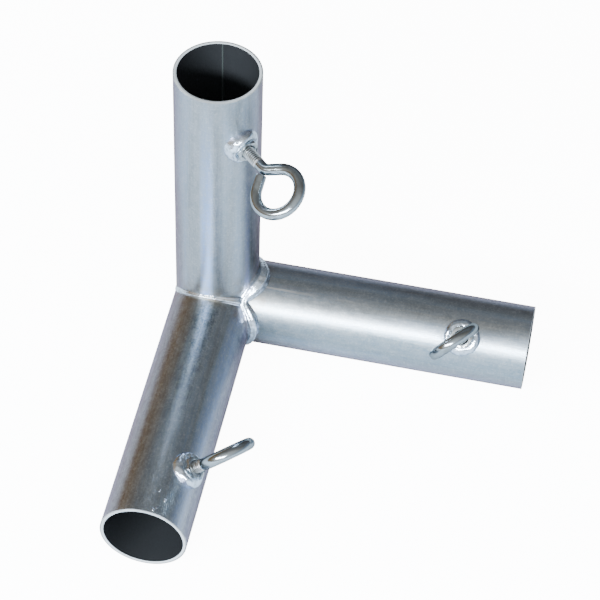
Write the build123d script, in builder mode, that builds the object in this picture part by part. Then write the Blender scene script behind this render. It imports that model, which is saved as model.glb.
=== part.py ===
"""Three-way corner fitting for a pipe-frame canopy: three welded sleeve tubes with eye-bolt clamp screws."""

import os
from math import cos, radians, sin, sqrt, tan

from build123d import *

# Sleeve tubes, 1-5/8 inch pole sockets
tube_outer_d = 46.0
tube_wall = 1.9
upright_length = 170.0
side_length = 175.0
front_length = 170.0
fit_up_gap = 0.2

# How far welding has drawn the bores in past where a pole can reach, and how far that runs out of the joint
weld_draw = 0.25
weld_land = 0.8

# Welds between the tubes: radius of each rounded bead, and how far it is dressed off the resting face
elbow_bead_r = 1.7
branch_bead_r = 2.8
weld_lift = 0.3

# Bolt stations, measured back from each mouth
upright_bolt_setback = 33.2
side_bolt_setback = 36.0
front_bolt_setback = 35.0

# Where each bolt stands round its tube, in degrees from the first of its two neighbours
upright_bolt_clock = 44.0
side_bolt_clock = 48.0
front_bolt_clock = 45.0

# Quarter-inch hex nuts and the weld that holds them
nut_flats = 11.1
nut_height = 5.6
nut_bevel = 0.45
nut_turn = 12.0
drill_d = 7.4
collar_d = 20.5
collar_height = 3.4
collar_lip = 0.6

# Bent-wire eye bolts
thread_d = 6.35
thread_clearance = 0.05
thread_length = 10.6
shank_length = 17.0
tip_bevel = 0.8
runout_length = 0.6
wire_d = 6.1
wire_end_round = 0.6
neck_angle = 43.0
neck_radius = 6.0
eye_inner_d = 18.4
eye_offset = 2.7
eye_sweep = 279.0
eye_gap = 0.3

# How far each neck stands off its nut, and how far the eye is turned from the tube's axis
upright_bolt_out = 14.9
side_bolt_out = 11.6
front_bolt_out = 9.7
upright_eye_turn = -58.0
side_eye_turn = 43.5
front_eye_turn = 144.0

# Radii and heights that follow from the sizes above
tube_r = tube_outer_d / 2
bore_r = tube_r - tube_wall
joint_bore_r = bore_r - weld_draw
socket_floor = tube_r + fit_up_gap + weld_land
wire_r = wire_d / 2
thread_r = thread_d / 2
nut_hole_r = thread_r + thread_clearance
nut_corner_r = nut_flats / 2 / cos(radians(30))
collar_r = collar_d / 2
eye_r = (eye_inner_d + wire_d) / 2
neck_run = neck_radius * tan(radians(neck_angle) / 2)
leg_end_side = eye_r * cos(radians(neck_angle)) - eye_offset
leg_length = leg_end_side / sin(radians(neck_angle)) - neck_run
tail_start = eye_r - (eye_r - wire_r) * cos(radians(eye_sweep))
tail_length = (tail_start - wire_r - eye_gap) / sin(radians(360 - eye_sweep))


def quarter_direction(first, second, clock):
    """The direction between two square axes, turned by the clock angle from the first."""
    return first * cos(radians(clock)) + second * sin(radians(clock))


# Tube axes, and the seat of each bolt: its normal is the bolt's axis, its x the tube's
up = Vector(0, 0, 1)
right = Vector(1, 0, 0)
forward = Vector(0, -1, 0)

upright_seat = Plane(
    origin=up * (upright_length - upright_bolt_setback),
    x_dir=up,
    z_dir=quarter_direction(right, forward, upright_bolt_clock),
)
side_seat = Plane(
    origin=right * (side_length - side_bolt_setback),
    x_dir=right,
    z_dir=quarter_direction(forward, up, side_bolt_clock),
)
front_seat = Plane(
    origin=forward * (front_length - front_bolt_setback),
    x_dir=forward,
    z_dir=quarter_direction(right, up, front_bolt_clock),
)

# The mitre between the upright and the front tube
mitre = Plane(origin=(0, 0, 0), x_dir=(1, 0, 0), z_dir=(0, 1, 1))

# Each tube's own plane, its normal along the tube
upright_plane = Plane(origin=(0, 0, 0), x_dir=(1, 0, 0), z_dir=up)
side_plane = Plane(origin=(0, 0, 0), x_dir=(0, 1, 0), z_dir=right)
front_plane = Plane(origin=(0, 0, 0), x_dir=(1, 0, 0), z_dir=forward)


def mitred_form(radius):
    """The elbow's two legs as one filled form of the given radius."""
    with BuildPart() as upright_leg:
        with BuildSketch(upright_plane.offset(-2 * radius)):
            Circle(radius)
        extrude(amount=upright_length + 2 * radius)
        split(bisect_by=mitre, keep=Keep.TOP)
    with BuildPart() as front_leg:
        with BuildSketch(front_plane.offset(-2 * radius)):
            Circle(radius)
        extrude(amount=front_length + 2 * radius)
        split(bisect_by=mitre, keep=Keep.BOTTOM)
    with BuildPart() as form:
        add(upright_leg.part)
        add(front_leg.part)
    return form.part


elbow_form = mitred_form(tube_r)
cope_form = mitred_form(tube_r + fit_up_gap)

# Upright tube, cut at the mitre with half the fit-up gap
with BuildPart() as upright_tube:
    with BuildSketch(upright_plane.offset(-2 * tube_r)):
        Circle(tube_r)
        Circle(joint_bore_r, mode=Mode.SUBTRACT)
    extrude(amount=upright_length + 2 * tube_r)
    with BuildSketch(upright_plane.offset(socket_floor)):
        Circle(bore_r)
    extrude(amount=upright_length, mode=Mode.SUBTRACT)
    split(bisect_by=mitre.offset(fit_up_gap / 2), keep=Keep.TOP)
    with BuildSketch(upright_seat):
        Circle(drill_d / 2)
    extrude(amount=tube_outer_d, mode=Mode.SUBTRACT)

# Front tube, the other leg of the elbow
with BuildPart() as front_tube:
    with BuildSketch(front_plane.offset(-2 * tube_r)):
        Circle(tube_r)
        Circle(joint_bore_r, mode=Mode.SUBTRACT)
    extrude(amount=front_length + 2 * tube_r)
    with BuildSketch(front_plane.offset(socket_floor)):
        Circle(bore_r)
    extrude(amount=front_length, mode=Mode.SUBTRACT)
    split(bisect_by=mitre.offset(-fit_up_gap / 2), keep=Keep.BOTTOM)
    with BuildSketch(front_seat):
        Circle(drill_d / 2)
    extrude(amount=tube_outer_d, mode=Mode.SUBTRACT)

# Side tube, coped to the outside of the elbow
with BuildPart() as side_tube:
    with BuildSketch(side_plane):
        Circle(tube_r)
        Circle(joint_bore_r, mode=Mode.SUBTRACT)
    extrude(amount=side_length)
    with BuildSketch(side_plane.offset(socket_floor)):
        Circle(bore_r)
    extrude(amount=side_length, mode=Mode.SUBTRACT)
    add(cope_form, mode=Mode.SUBTRACT)
    with BuildSketch(side_seat):
        Circle(drill_d / 2)
    extrude(amount=tube_outer_d, mode=Mode.SUBTRACT)

# The side tube as a filled form, for trimming the welds
with BuildPart() as branch_form:
    with BuildSketch(side_plane):
        Circle(tube_r)
    extrude(amount=side_length)

# What is dressed off the welds so that the two lying tubes rest on their own walls
with BuildPart() as table_form:
    with BuildSketch(Plane.XY.offset(weld_lift - tube_r)):
        Rectangle(8 * tube_r, 8 * tube_r)
    extrude(amount=-4 * branch_bead_r)


def seam_arc(long_dir, short_dir, reach, bead_r):
    """A round bead along part of the ellipse in which two tubes of one size meet."""
    seam_plane = Plane(origin=(0, 0, 0), x_dir=short_dir, z_dir=Vector(*short_dir).cross(Vector(*long_dir)))
    with BuildPart() as bead:
        with BuildLine(seam_plane) as seam:
            EllipticalCenterArc((0, 0), tube_r, tube_r * sqrt(2), 0, arc_size=reach)
        with BuildSketch(Plane(origin=seam.line @ 0, z_dir=seam.line % 0)):
            Circle(bead_r)
        sweep()
    return bead.part


# The bead round the side tube's coped end: four elliptical runs joined at their corners
corner = tube_r / sqrt(2)
branch_corners = [
    (corner, -corner, corner),
    (0, tube_r, 0),
    (corner, corner, -corner),
    (0, 0, -tube_r),
]
with BuildPart() as branch_weld:
    add(seam_arc((1, 0, 1), (0, 1, 0), 135, branch_bead_r))
    add(seam_arc((1, 0, -1), (0, 1, 0), 45, branch_bead_r))
    add(seam_arc((1, 1, 0), (0, 0, -1), 45, branch_bead_r))
    add(seam_arc((1, -1, 0), (0, 0, -1), 135, branch_bead_r))
    with Locations(*branch_corners):
        Sphere(branch_bead_r)
    add(elbow_form, mode=Mode.SUBTRACT)
    add(branch_form.part, mode=Mode.SUBTRACT)
    add(table_form.part, mode=Mode.SUBTRACT)

# The neat bead round the mitre, which runs out under the side tube's weld
with BuildPart() as elbow_weld:
    with BuildLine(mitre) as mitre_seam:
        EllipticalCenterArc((0, 0), tube_r, tube_r * sqrt(2), 45, arc_size=270)
    with BuildSketch(Plane(origin=mitre_seam.line @ 0, z_dir=mitre_seam.line % 0)):
        Circle(elbow_bead_r)
    sweep()
    add(elbow_form, mode=Mode.SUBTRACT)
    add(branch_form.part, mode=Mode.SUBTRACT)
    add(branch_weld.part, mode=Mode.SUBTRACT)
    add(table_form.part, mode=Mode.SUBTRACT)


def section_of(seat):
    """The plane through a bolt's axis: x along the tube, y along the bolt."""
    return Plane(origin=seat.origin, x_dir=seat.x_dir, z_dir=seat.y_dir * -1)


def hex_nut(seat, turn):
    """A bevelled hex nut that stands on the tube's crown."""
    top = tube_r + nut_height
    with BuildPart() as nut:
        with BuildSketch(seat.offset(tube_r)):
            RegularPolygon(nut_flats / 2, 6, major_radius=False, rotation=turn)
        extrude(amount=nut_height)
        with BuildSketch(section_of(seat)):
            with BuildLine():
                Polyline(
                    (0, tube_r),
                    (nut_corner_r + nut_bevel, tube_r),
                    (nut_corner_r + nut_bevel, top - nut_bevel - nut_bevel * tan(radians(30))),
                    (nut_corner_r - nut_bevel * sqrt(3), top),
                    (0, top),
                    close=True,
                )
            make_face()
        revolve(axis=Axis(seat.origin, seat.z_dir), mode=Mode.INTERSECT)
        with BuildSketch(seat.offset(tube_r)):
            Circle(nut_hole_r)
        extrude(amount=nut_height, mode=Mode.SUBTRACT)
    return nut.part


def nut_collar(seat, tube_plane, nut):
    """The weld that fills in round a nut, down to the tube on every side."""
    foot = sqrt(tube_r**2 - collar_r**2)
    crown = tube_r + collar_height
    with BuildPart() as collar:
        with BuildSketch(section_of(seat)):
            with BuildLine():
                Line((0, foot - collar_lip), (collar_r, foot - collar_lip))
                Line((collar_r, foot - collar_lip), (collar_r, foot + collar_lip))
                ThreePointArc(
                    (collar_r, foot + collar_lip),
                    (collar_r * 0.86, foot + 0.62 * (crown - foot)),
                    (nut_corner_r, crown),
                )
                Line((nut_corner_r, crown), (0, crown))
                Line((0, crown), (0, foot - collar_lip))
            make_face()
        revolve(axis=Axis(seat.origin, seat.z_dir))
        with BuildSketch(tube_plane.offset(-tube_r)):
            Circle(tube_r)
        extrude(amount=upright_length + side_length + front_length, mode=Mode.SUBTRACT)
        with BuildSketch(seat):
            Circle(nut_hole_r)
        extrude(amount=2 * tube_outer_d, mode=Mode.SUBTRACT)
        add(nut, mode=Mode.SUBTRACT)
    return collar.part


def eye_bolt(seat, out, turn):
    """A threaded shank whose wire bends aside and comes round in a ring to its own neck."""
    neck = tube_r + nut_height + out
    side_dir = seat.x_dir * cos(radians(turn)) + seat.y_dir * sin(radians(turn))
    bend_plane = Plane(origin=seat.origin, x_dir=seat.z_dir, z_dir=seat.z_dir.cross(side_dir))
    with BuildPart() as bolt:
        with BuildLine(bend_plane) as wire:
            shank = Line((neck - shank_length + tip_bevel, 0), (neck - neck_run, 0))
            bend = JernArc(shank @ 1, shank % 1, neck_radius, neck_angle)
            leg = Line(bend @ 1, (bend @ 1) + (bend % 1) * leg_length)
            ring = JernArc(leg @ 1, leg % 1, eye_r, -eye_sweep)
            Line(ring @ 1, (ring @ 1) + (ring % 1) * tail_length)
        with BuildSketch(Plane(origin=wire.line @ 0, z_dir=wire.line % 0)):
            Circle(wire_r)
        sweep()
        wire_end = bolt.faces().filter_by(GeomType.PLANE).sort_by_distance(wire.line @ 1)[0]
        fillet(wire_end.edges(), wire_end_round)
        with BuildSketch(Plane(origin=seat.origin, x_dir=seat.z_dir, z_dir=seat.y_dir)):
            with BuildLine():
                Polyline(
                    (neck - shank_length, 0),
                    (neck - shank_length, thread_r - tip_bevel),
                    (neck - shank_length + tip_bevel, thread_r),
                    (neck - shank_length + thread_length, thread_r),
                    (neck - shank_length + thread_length + runout_length, wire_r),
                    (neck - shank_length + thread_length + runout_length, 0),
                    close=True,
                )
            make_face()
        revolve(axis=Axis(seat.origin, seat.z_dir))
    return bolt.part


upright_nut = hex_nut(upright_seat, nut_turn)
side_nut = hex_nut(side_seat, nut_turn)
front_nut = hex_nut(front_seat, nut_turn)

pieces = {
    "upright_tube": upright_tube.part,
    "side_tube": side_tube.part,
    "front_tube": front_tube.part,
    "elbow_weld": elbow_weld.part,
    "branch_weld": branch_weld.part,
    "upright_nut": upright_nut,
    "side_nut": side_nut,
    "front_nut": front_nut,
    "upright_nut_weld": nut_collar(upright_seat, upright_plane, upright_nut),
    "side_nut_weld": nut_collar(side_seat, side_plane, side_nut),
    "front_nut_weld": nut_collar(front_seat, front_plane, front_nut),
    "upright_eye_bolt": eye_bolt(upright_seat, upright_bolt_out, upright_eye_turn),
    "side_eye_bolt": eye_bolt(side_seat, side_bolt_out, side_eye_turn),
    "front_eye_bolt": eye_bolt(front_seat, front_bolt_out, front_eye_turn),
}

os.makedirs("parts", exist_ok=True)
for name, part in pieces.items():
    part.label = name
    export_step(part, f"parts/{name}.step")
    print(name, round(part.volume, 1), len(part.solids()))
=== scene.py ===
"""Dressed model of a three-way canopy corner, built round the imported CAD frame.

It has satin sleeve tubes, lumpy welds, weld nuts and bent-wire eye bolts. Shapes are drawn in
millimetres and turned to metres when they are finished. Materials and the studio are in metres.
"""

import logging
import math
from collections.abc import Callable, Iterable, Sequence
from dataclasses import dataclass
from enum import Enum

import bmesh
import bpy
from mathutils import Matrix, Quaternion, Vector, noise


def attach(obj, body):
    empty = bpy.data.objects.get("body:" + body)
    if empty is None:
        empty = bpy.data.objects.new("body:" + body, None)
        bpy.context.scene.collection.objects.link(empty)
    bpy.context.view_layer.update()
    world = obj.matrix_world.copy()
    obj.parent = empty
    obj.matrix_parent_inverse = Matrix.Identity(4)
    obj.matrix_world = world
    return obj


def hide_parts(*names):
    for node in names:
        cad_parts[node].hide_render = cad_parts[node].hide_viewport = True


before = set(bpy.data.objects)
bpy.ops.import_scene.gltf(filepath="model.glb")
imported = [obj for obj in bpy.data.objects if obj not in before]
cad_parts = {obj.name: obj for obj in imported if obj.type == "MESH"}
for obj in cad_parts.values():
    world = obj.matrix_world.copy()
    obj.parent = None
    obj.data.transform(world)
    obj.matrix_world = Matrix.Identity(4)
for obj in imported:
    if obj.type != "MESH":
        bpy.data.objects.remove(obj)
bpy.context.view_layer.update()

log = logging.getLogger("canopy_corner")

Socket = bpy.types.NodeSocket
Colour = tuple[float, float, float, float]
Span = tuple[float, float, float, float]
Move = Callable[[Vector], Vector]

MM = 0.001

# A sleeve tube's outer radius, its bore's radius and a radius near the middle of its wall
TUBE_R = 23.0
BORE_R = 21.1
WALL_MIDDLE = 21.9

NUT_HEIGHT = 5.6

# Bends past which an edge stays sharp, on hardware and seams and on welds
SMOOTH_ANGLE = math.radians(38)
WELD_ANGLE = math.radians(80)

# Corners that lie closer than this become one
MERGE_GAP = 1e-4

# The attribute that holds the depth in a thread: 0 on plain wire, CREST on a crest, 1 at a root
GROOVE = "groove"
CREST = 0.3

# Grain tones between which a roughness runs from its low to its high value
GRAIN_TONES = (0.3, 0.7)

# Tones of bright specks, and the painted shade of the weld seam inside each bore, a little paler than the
# bore's
SPECK = (0.86, 0.88, 0.87, 1)
PAINTED_SEAM_SHADE = (0.062, 0.076, 0.078, 1)
WHITE = (1.0, 1.0, 1.0, 1)

# Directions of the upright, the side and the front tube
UP = Vector((0, 0, 1))
RIGHT = Vector((1, 0, 0))
FORWARD = Vector((0, -1, 0))


class Slot(Enum):
    """The record's material slots."""

    TUBE = "galvanised_tube"
    WELD = "weld_bead"
    HARDWARE = "zinc_hardware"


class NodeBench:
    """A node tree with short ways to add and join nodes."""

    def __init__(self, tree: bpy.types.NodeTree) -> None:
        """Keeps the tree."""
        self.tree = tree

    def feed(self, socket: Socket, value: object) -> None:
        """Sets a socket's value, or joins another socket to it.

        Args:
            socket: the input.
            value: a plain value, or the output to join.
        """
        if isinstance(value, Socket):
            self.tree.links.new(value, socket)
        else:
            socket.default_value = value

    def feed_all(self, node: bpy.types.Node, values: dict[str, object]) -> None:
        """Feeds a node's inputs by name, with underscores for spaces."""
        for key, value in values.items():
            self.feed(node.inputs[key.replace("_", " ")], value)

    def add(self, kind: str, props: dict | None = None, **values: object) -> bpy.types.Node:
        """Adds a node.

        Args:
            kind: the node's type, without its ShaderNode prefix.
            props: attributes of the node to set.
            values: input values or sockets to join, by socket name, spaces as underscores.

        Returns:
            The new node.
        """
        node = self.tree.nodes.new("ShaderNode" + kind)
        for key, value in (props or {}).items():
            setattr(node, key, value)
        self.feed_all(node, values)
        return node

    def math(self, operation: str, *values: object, clamp: bool = False) -> Socket:
        """Adds a Math node.

        Args:
            operation: what it works out.
            values: its inputs in order, as numbers or sockets.
            clamp: whether the result is held between 0 and 1.

        Returns:
            The node's output.
        """
        node = self.add("Math", {"operation": operation, "use_clamp": clamp})
        for socket, value in zip(node.inputs, values):
            self.feed(socket, value)
        return node.outputs[0]

    def times(self, first: object, second: object) -> Socket:
        """Multiplies two values and returns the output."""
        return self.math("MULTIPLY", first, second)

    def span(
        self, value: object, low: object, high: object, to_low: float = 0.0, to_high: float = 1.0
    ) -> Socket:
        """Maps a value from one range to another, held at its ends, and returns the output."""
        ends = dict(From_Min=low, From_Max=high, To_Min=to_low, To_Max=to_high)
        return self.add("MapRange", {"clamp": True}, Value=value, **ends).outputs["Result"]

    def mix(self, factor: object, first: object, second: object) -> Socket:
        """Mixes two colours.

        Args:
            factor: the share of the second colour.
            first: the colour at 0.
            second: the colour at 1.

        Returns:
            The mixed colour.
        """
        node = self.add("Mix", {"data_type": "RGBA"})
        self.feed(node.inputs["Factor"], factor)
        colours = [socket for socket in node.inputs if socket.type == "RGBA"]
        self.feed(colours[0], first)
        self.feed(colours[1], second)
        return next(socket for socket in node.outputs if socket.type == "RGBA")

    def noise(self, vector: object, scale: object, detail: float = 3.0, rough: float = 0.55) -> Socket:
        """Adds a Noise Texture and returns its value."""
        values = dict(Vector=vector, Scale=scale, Detail=detail, Roughness=rough)
        return self.add("TexNoise", None, **values).outputs["Fac"]

    def split(self, vector: object) -> tuple[Socket, ...]:
        """Splits a vector into its three parts."""
        return tuple(self.add("SeparateXYZ", None, Vector=vector).outputs)

    def bump(self, height: Socket, strength: float, distance: float, under: Socket | None = None) -> Socket:
        """Adds a Bump node.

        Args:
            height: what it raises.
            strength: how strongly it shows.
            distance: how far a height of 1 stands out, in metres.
            under: the normal that it is laid on, if it isn't the plain one.

        Returns:
            The new normal.
        """
        node = self.add("Bump", None, Height=height, Strength=strength, Distance=distance)
        if under is not None:
            self.feed(node.inputs["Normal"], under)
        return node.outputs["Normal"]


class GroupBench(NodeBench):
    """A node group's tree, with short ways to read its inputs and to feed its outputs."""

    def __init__(self, tree: bpy.types.NodeTree) -> None:
        """Adds the group's own input and output nodes.

        Args:
            tree: the group's tree.
        """
        super().__init__(tree)
        self.source = tree.nodes.new("NodeGroupInput")
        self.sink = tree.nodes.new("NodeGroupOutput")

    def given(self, name: str) -> Socket:
        """One of the group's inputs."""
        return self.source.outputs[name]

    def give(self, **values: object) -> None:
        """Feeds the group's outputs by name, with underscores for spaces."""
        self.feed_all(self.sink, values)


class Effects:
    """Shader node groups that more than one finish uses, each built once."""

    made: dict[str, bpy.types.NodeTree] = {}

    # Grain: the scale of its coarse noise beside the fine one's, and the fine one's share of the tone
    coarse_scale = 0.21
    fine_share = 0.6

    # Patches: how far on each side of their level they fade
    patch_fade = 0.08

    # Heat: where it is full beside a seam, the noise that breaks it up, and where it ends from the corner
    heat_core = 0.002
    heat_scale = 130.0
    heat_break = (0.40, 0.62)
    heat_end = (0.046, 0.034)

    # Pipe mouth: insets of the outer ring and of the worn edges in millimetres, and the edges' drop
    ring_inner = 0.8
    ring_outer = 0.45
    worn_inset = 0.05
    worn_drop = 0.00033

    # Band: how fast it fades out towards its reach
    band_fade = 11.0

    @classmethod
    def group(
        cls, name: str, vectors: Sequence[str], floats: Sequence[str], outputs: Sequence[str], fill: Callable
    ) -> bpy.types.NodeTree:
        """Makes a group on its first use.

        Args:
            name: the group's name.
            vectors: names of its vector inputs.
            floats: names of its inputs that are plain numbers.
            outputs: names of its outputs, all plain numbers.
            fill: called with the group's bench, to join its nodes.

        Returns:
            The group's tree.
        """
        if name in cls.made:
            return cls.made[name]
        tree = bpy.data.node_groups.new(name, "ShaderNodeTree")
        for label in vectors:
            tree.interface.new_socket(name=label, in_out="INPUT", socket_type="NodeSocketVector")
        for label in floats:
            tree.interface.new_socket(name=label, in_out="INPUT", socket_type="NodeSocketFloat")
        for label in outputs:
            tree.interface.new_socket(name=label, in_out="OUTPUT", socket_type="NodeSocketFloat")
        fill(GroupBench(tree))
        cls.made[name] = tree
        return tree

    @classmethod
    def place(cls, bench: NodeBench, tree: bpy.types.NodeTree, **values: object) -> bpy.types.Node:
        """Puts a group into a material.

        Args:
            bench: the material's bench.
            tree: the group's tree.
            values: the group's inputs by name, spaces as underscores.

        Returns:
            The new node.
        """
        node = bench.add("Group", {"node_tree": tree})
        bench.feed_all(node, values)
        return node

    @classmethod
    def grain(cls) -> bpy.types.NodeTree:
        """Fine crystalline grain: a height and a tone from two scales of noise.

        Returns:
            The group's tree.
        """

        def fill(bench: GroupBench) -> None:
            """Joins the group's nodes.

            Args:
                bench: the group's bench.
            """
            vector, scale = bench.given("Vector"), bench.given("Scale")
            fine = bench.noise(vector, scale, detail=4.0, rough=0.7)
            coarse = bench.noise(vector, bench.times(scale, cls.coarse_scale), detail=2.0)
            shares = bench.times(fine, cls.fine_share), bench.times(coarse, 1 - cls.fine_share)
            bench.give(Height=fine, Tone=bench.math("ADD", *shares))

        return cls.group("fine_grain", ["Vector"], ["Scale"], ["Height", "Tone"], fill)

    @classmethod
    def patches(cls) -> bpy.types.NodeTree:
        """Soft patches of wear or stain, as a mask.

        Returns:
            The group's tree.
        """

        def fill(bench: GroupBench) -> None:
            """Joins the group's nodes.

            Args:
                bench: the group's bench.
            """
            cloud = bench.noise(bench.given("Vector"), bench.given("Scale"), detail=5.0, rough=0.6)
            low = bench.math("SUBTRACT", bench.given("Level"), cls.patch_fade)
            high = bench.math("ADD", bench.given("Level"), cls.patch_fade)
            bench.give(Mask=bench.span(cloud, low, high))

        return cls.group("soft_patches", ["Vector"], ["Scale", "Level"], ["Mask"], fill)

    @classmethod
    def heat(cls) -> bpy.types.NodeTree:
        """How near a point lies to one of the corner's three seams, broken up by soft noise.

        Returns:
            The group's tree.
        """

        def fill(bench: GroupBench) -> None:
            """Joins the group's nodes.

            Args:
                bench: the group's bench.
            """
            vector = bench.given("Vector")
            across, depth, height = bench.split(vector)
            gaps = [
                bench.math("ABSOLUTE", bench.math("ADD", depth, height)),
                bench.math("ABSOLUTE", bench.math("ADD", across, depth)),
                bench.math("ABSOLUTE", bench.math("SUBTRACT", across, height)),
            ]
            nearest = bench.math("MINIMUM", bench.math("MINIMUM", gaps[0], gaps[1]), gaps[2])
            shade = bench.span(nearest, bench.given("Reach"), cls.heat_core)
            broken = bench.span(bench.noise(vector, cls.heat_scale), *cls.heat_break)
            away = bench.add("VectorMath", {"operation": "LENGTH"}, Vector=vector).outputs["Value"]
            close = bench.times(broken, bench.span(away, *cls.heat_end))
            bench.give(Mask=bench.times(shade, close))

        return cls.group("heat_near_seams", ["Vector"], ["Reach"], ["Mask"], fill)

    @classmethod
    def pipe_zones(cls) -> bpy.types.NodeTree:
        """Zones of a pipe along Z: its bore, its cut mouth, the mouth's outer ring and its worn edges.

        Returns:
            The group's tree.
        """

        def fill(bench: GroupBench) -> None:
            """Joins the group's nodes.

            Args:
                bench: the group's bench.
            """
            across, depth, height = bench.split(bench.given("Vector"))
            squares = bench.times(across, across), bench.times(depth, depth)
            radius = bench.math("SQRT", bench.math("ADD", *squares))
            inside = bench.math("LESS_THAN", radius, bench.given("Wall Middle"))
            past = bench.math("GREATER_THAN", height, bench.given("Mouth"))
            ring = bench.span(radius, (BORE_R + cls.ring_inner) * MM, (TUBE_R - cls.ring_outer) * MM)
            edges = (BORE_R + cls.worn_inset) * MM, (TUBE_R - cls.worn_inset) * MM
            off = bench.span(radius, *edges, -1.0, 1.0)
            bench.give(
                Inside=bench.times(inside, bench.math("SUBTRACT", 1.0, past)),
                Rim=past,
                Outer_Rim=bench.times(ring, past),
                Worn_Edge=bench.times(bench.times(off, off), -cls.worn_drop),
            )

        masks = ["Inside", "Rim", "Outer Rim", "Worn Edge"]
        return cls.group("pipe_zones", ["Vector"], ["Wall Middle", "Mouth"], masks, fill)

    @classmethod
    def band(cls) -> bpy.types.NodeTree:
        """A soft band along a pipe on the side that it is told, fading out towards its reach.

        Returns:
            The group's tree.
        """

        def fill(bench: GroupBench) -> None:
            """Joins the group's nodes.

            Args:
                bench: the group's bench.
            """
            vector = bench.given("Vector")
            flat = bench.add("VectorMath", {"operation": "MULTIPLY"}, Vector=vector)
            flat.inputs[1].default_value = (1.0, 1.0, 0.0)
            way = bench.add("VectorMath", {"operation": "NORMALIZE"}, Vector=flat.outputs[0]).outputs[0]
            near = bench.add("VectorMath", {"operation": "DOT_PRODUCT"}, Vector=way)
            bench.feed(near.inputs[1], bench.given("Side"))
            strip = bench.span(near.outputs["Value"], bench.given("Outer"), bench.given("Inner"))
            rest = bench.math("SUBTRACT", bench.given("Reach"), bench.split(vector)[2])
            left = bench.math("MULTIPLY", rest, cls.band_fade, clamp=True)
            bench.give(Mask=bench.times(strip, left))

        return cls.group("side_band", ["Vector", "Side"], ["Outer", "Inner", "Reach"], ["Mask"], fill)


def bench_for(name: str) -> tuple[bpy.types.Material, NodeBench, bpy.types.Node]:
    """A new material with a Principled shader.

    Args:
        name: the material's name.

    Returns:
        The material, its bench and the shader node.
    """
    material = bpy.data.materials.new(name)
    material.use_nodes = True
    bench = NodeBench(material.node_tree)
    return material, bench, material.node_tree.nodes["Principled BSDF"]


@dataclass(frozen=True)
class Patches:
    """Soft patches: the scale of their noise, and the level past which they show."""

    scale: float
    level: float

    def mask(self, bench: NodeBench, vector: Socket) -> Socket:
        """Places the patches in a material and returns their mask."""
        values = dict(Vector=vector, Scale=self.scale, Level=self.level)
        return Effects.place(bench, Effects.patches(), **values).outputs["Mask"]


@dataclass(frozen=True)
class Band:
    """A tinted band along a tube: a painted reflection or painted shade on one side of it, or a scratch line.

    The width is half the band's own, in degrees round the tube, and the core is the part of it that
    has the full tint. The reach is where the band ends along the tube, in metres.
    """

    side: Vector
    colour: Colour
    share: float
    width: float
    reach: float = 0.3
    core: float = 0.3

    def mask(self, bench: NodeBench, flat: Socket, turn: Quaternion) -> Socket:
        """Places the band in a tube's material.

        Args:
            bench: the material's bench.
            flat: the place on the tube, the tube along Z.
            turn: how the tube was turned to lie along Z.

        Returns:
            The band's mask.
        """
        outer = math.cos(math.radians(self.width))
        inner = math.cos(math.radians(self.width * self.core))
        values = dict(Vector=flat, Side=turn @ self.side, Outer=outer, Inner=inner, Reach=self.reach)
        placed = Effects.place(bench, Effects.band(), **values)
        return bench.times(placed.outputs["Mask"], self.share)


@dataclass(frozen=True)
class Ground:
    """What a tube's finish is laid on: the bench, the tube's turn, and places in three readings.

    The first is the place as it lies. The next is turned so that the tube runs along Z. The last is
    squashed along the tube as well, so that a pattern on it is drawn out.
    """

    bench: NodeBench
    turn: Quaternion
    place: Socket
    flat: Socket
    drawn: Socket


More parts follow.
